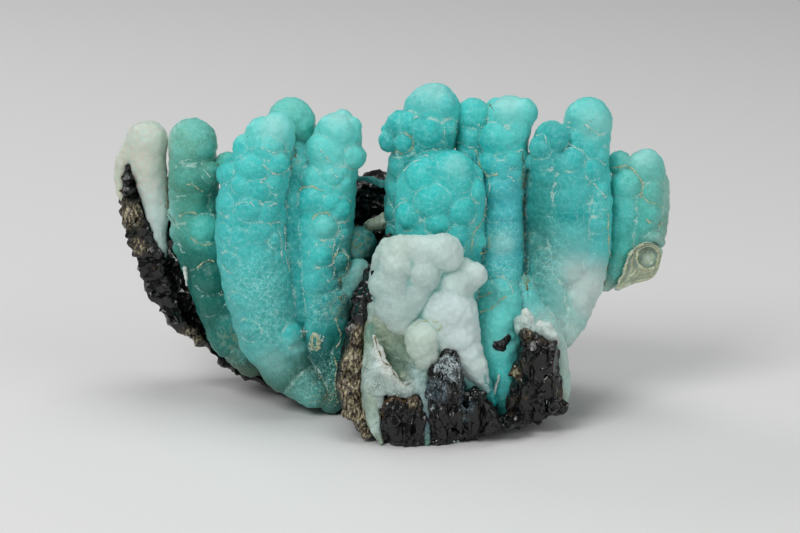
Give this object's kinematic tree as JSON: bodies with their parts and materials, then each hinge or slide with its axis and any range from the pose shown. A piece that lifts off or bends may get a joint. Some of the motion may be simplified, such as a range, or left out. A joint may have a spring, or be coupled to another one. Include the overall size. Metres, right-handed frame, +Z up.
{
  "type": "chrysocolla on quartz specimen",
  "caption": "Mineral specimen: sheaves of lumpy blue-green chrysocolla stalactite fingers and a milky quartz growth on black host rock, standing on a flat cut base.",
  "frame": {"origin": "middle of the footprint box, on the surface that the specimen stands on", "axes": "+X to the right of the front view, along the longest side, +Y from the front to the back, +Z up"},
  "size_m": [0.087, 0.0432, 0.0516],
  "materials": {
    "host_rock": "rough broken black rock with small glossy facets and brown oxide patches",
    "chrysocolla": "waxy translucent blue-green skin, satin, with fine pale crust lines in the creases",
    "milky_quartz": "waxy translucent pale blue-white skin, satin"
  },
  "bodies": {
    "root": {"host_rock": "host_rock", "left_fingers": "chrysocolla", "right_fingers": "chrysocolla", "front_quartz": "milky_quartz"}
  },
  "joints": []
}
